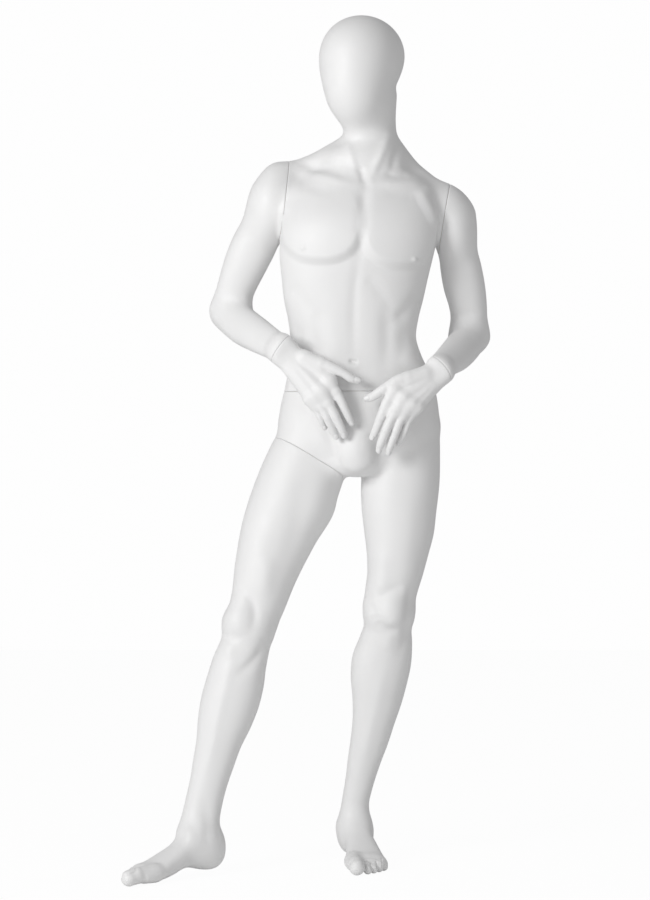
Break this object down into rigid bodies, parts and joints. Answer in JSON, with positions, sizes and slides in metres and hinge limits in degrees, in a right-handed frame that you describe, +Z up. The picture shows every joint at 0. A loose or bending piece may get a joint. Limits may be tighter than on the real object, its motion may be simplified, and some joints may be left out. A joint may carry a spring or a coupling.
{
  "type": "full body mannequin",
  "caption": "Full body display mannequin with a faceless egg head, standing with both hands in front of the hips; lifts apart at the waist, shoulders, wrists and one thigh.",
  "frame": {"origin": "on the floor under the middle of the bounding box, between the two feet", "axes": "+Z up, the chest faces -Y, the figure's right arm is on the -X side"},
  "size_m": [0.8004, 0.4263, 1.8679],
  "materials": {
    "shell_white": "matt white lacquer on glass fibre",
    "plywood": "raw plywood",
    "steel": "turned",
    "zinc": "zinc plated",
    "nylon": "moulded"
  },
  "bodies": {
    "lower_body": {"lower_body_shell": "shell_white", "pelvis_waist_plate": "plywood", "pelvis_hip_plate": "plywood", "waist_post": "steel", "waist_post_screw_1": "zinc", "waist_post_screw_2": "zinc", "waist_post_screw_3": "zinc", "waist_post_screw_4": "zinc", "waist_dowel_1": "plywood", "waist_dowel_2": "plywood", "hip_pin": "steel", "hip_pin_screw_1": "zinc", "hip_pin_screw_2": "zinc", "hip_pin_screw_3": "zinc", "hip_dowel": "plywood", "left_foot_block": "plywood", "left_foot_socket": "steel"},
    "right_leg": {"right_leg_shell": "shell_white", "leg_hip_plate": "plywood", "leg_hip_socket": "steel"},
    "upper_body": {"upper_body_shell": "shell_white", "torso_waist_plate": "plywood", "waist_socket": "steel", "torso_right_shoulder_plate": "plywood", "torso_left_shoulder_plate": "plywood", "right_shoulder_bush": "nylon", "left_shoulder_bush": "nylon"},
    "right_shoulder": {"right_shoulder_spindle": "steel"},
    "right_arm": {"right_arm_shell": "shell_white", "right_arm_shoulder_plate": "plywood", "right_arm_wrist_plate": "plywood", "right_shoulder_receiver": "nylon", "right_shoulder_magnet": "zinc", "right_wrist_bush": "nylon"},
    "right_wrist": {"right_wrist_spindle": "steel"},
    "right_hand": {"right_hand": "shell_white", "right_wrist_receiver": "nylon", "right_wrist_magnet": "zinc"},
    "left_shoulder": {"left_shoulder_spindle": "steel"},
    "left_arm": {"left_arm_shell": "shell_white", "left_arm_shoulder_plate": "plywood", "left_arm_wrist_plate": "plywood", "left_shoulder_receiver": "nylon", "left_shoulder_magnet": "zinc", "left_wrist_bush": "nylon"},
    "left_wrist": {"left_wrist_spindle": "steel"},
    "left_hand": {"left_hand": "shell_white", "left_wrist_receiver": "nylon", "left_wrist_magnet": "zinc"}
  },
  "joints": [
    {"name": "waist_lift", "type": "slide", "parent": "lower_body", "child": "upper_body", "axis": [0, 0, 1], "range_m": [0, 0.12]},
    {"name": "right_leg_pull", "type": "slide", "parent": "lower_body", "child": "right_leg", "axis": [-0.5197, -0.1299, -0.8444], "range_m": [0, 0.045]},
    {"name": "right_shoulder_turn", "type": "hinge", "parent": "upper_body", "child": "right_shoulder", "pos_m": [-0.0616, 0.0915, 1.455], "axis": [-0.9893, -0.0692, 0.1286], "range_deg": [0, 60]},
    {"name": "right_arm_pull", "type": "slide", "parent": "right_shoulder", "child": "right_arm", "axis": [-0.9893, -0.0692, 0.1286], "range_m": [0, 0.05]},
    {"name": "right_wrist_turn", "type": "hinge", "parent": "right_arm", "child": "right_wrist", "pos_m": [-0.0659, -0.0405, 1.128], "axis": [0.7737, -0.2733, -0.5715], "range_deg": [-12, 5]},
    {"name": "right_hand_pull", "type": "slide", "parent": "right_wrist", "child": "right_hand", "axis": [0.7737, -0.2733, -0.5715], "range_m": [0, 0.022]},
    {"name": "left_shoulder_turn", "type": "hinge", "parent": "upper_body", "child": "left_shoulder", "pos_m": [0.2918, 0.0915, 1.415], "axis": [-0.9851, 0.0473, 0.1655], "range_deg": [0, 60]},
    {"name": "left_arm_pull", "type": "slide", "parent": "left_shoulder", "child": "left_arm", "axis": [0.9851, -0.0473, -0.1655], "range_m": [0, 0.05]},
    {"name": "left_wrist_turn", "type": "hinge", "parent": "left_arm", "child": "left_wrist", "pos_m": [0.2743, -0.0555, 1.0901], "axis": [-0.6893, -0.4592, -0.5603], "range_deg": [-12, 12]},
    {"name": "left_hand_pull", "type": "slide", "parent": "left_wrist", "child": "left_hand", "axis": [-0.6893, -0.4592, -0.5603], "range_m": [0, 0.022]}
  ]
}
